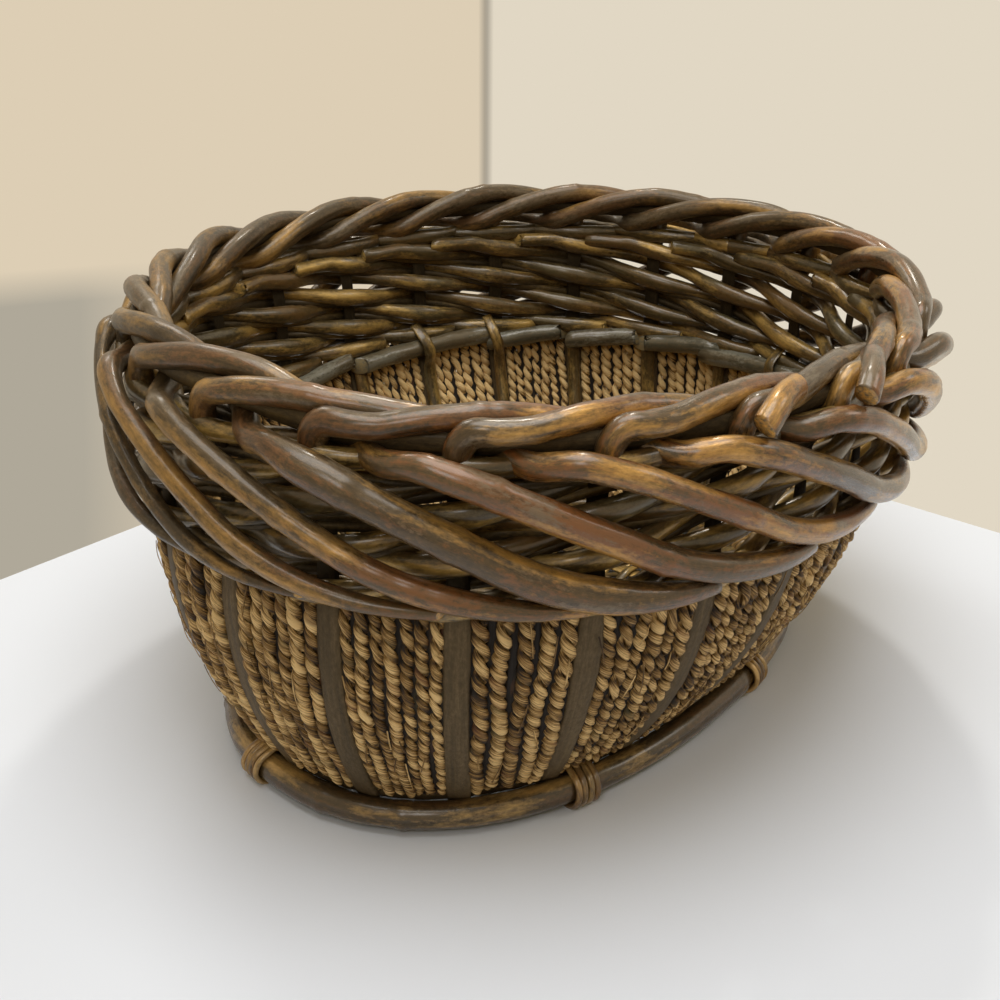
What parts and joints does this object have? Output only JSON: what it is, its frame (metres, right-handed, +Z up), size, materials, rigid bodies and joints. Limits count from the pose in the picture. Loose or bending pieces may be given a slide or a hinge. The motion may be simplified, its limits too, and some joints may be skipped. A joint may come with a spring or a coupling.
{
  "type": "seagrass basket",
  "caption": "Open oval storage basket with seagrass panels between flat stakes, a woven willow wall, a deep braided border and a lashed foot ring.",
  "frame": {"origin": "under the middle of the basket, on the ground it stands on", "axes": "+Z up, +X along the longer side of the oval"},
  "size_m": [0.423, 0.3762, 0.2099],
  "materials": {
    "willow_border": "satin varnish over brown stain",
    "seagrass": "dry twisted grass, matte",
    "willow_weave": "satin varnish over dark stain",
    "grey_willow": "weathered, matte",
    "foot_willow": "glossy varnish",
    "lashing_cane": "glossy varnish"
  },
  "bodies": {
    "root": {"stake_01": "willow_border", "stake_02": "willow_border", "stake_03": "willow_border", "stake_04": "willow_border", "stake_05": "willow_border", "stake_06": "willow_border", "stake_07": "willow_border", "stake_08": "willow_border", "stake_09": "willow_border", "stake_10": "willow_border", "stake_11": "willow_border", "stake_12": "willow_border", "stake_13": "willow_border", "stake_14": "willow_border", "stake_15": "willow_border", "stake_16": "willow_border", "stake_17": "willow_border", "stake_18": "willow_border", "stake_19": "willow_border", "stake_20": "willow_border", "stake_21": "willow_border", "stake_22": "willow_border", "seagrass_panel_01": "seagrass", "seagrass_panel_02": "seagrass", "seagrass_panel_03": "seagrass", "seagrass_panel_04": "seagrass", "seagrass_panel_05": "seagrass", "seagrass_panel_06": "seagrass", "seagrass_panel_07": "seagrass", "seagrass_panel_08": "seagrass", "seagrass_panel_09": "seagrass", "seagrass_panel_10": "seagrass", "seagrass_panel_11": "seagrass", "seagrass_panel_12": "seagrass", "seagrass_panel_13": "seagrass", "seagrass_panel_14": "seagrass", "seagrass_panel_15": "seagrass", "seagrass_panel_16": "seagrass", "seagrass_panel_17": "seagrass", "seagrass_panel_18": "seagrass", "seagrass_panel_19": "seagrass", "seagrass_panel_20": "seagrass", "seagrass_panel_21": "seagrass", "seagrass_panel_22": "seagrass", "woven_row_01": "willow_weave", "woven_row_02": "willow_weave", "woven_row_03": "willow_weave", "woven_row_04": "willow_weave", "woven_row_05": "willow_weave", "woven_row_06": "willow_weave", "ledge_ring": "grey_willow", "foot_ring": "foot_willow", "woven_base": "willow_weave", "foot_lashing_01": "lashing_cane", "foot_lashing_02": "lashing_cane", "foot_lashing_03": "lashing_cane", "foot_lashing_04": "lashing_cane", "foot_lashing_05": "lashing_cane", "foot_lashing_06": "lashing_cane", "foot_lashing_07": "lashing_cane"}
  },
  "joints": []
}
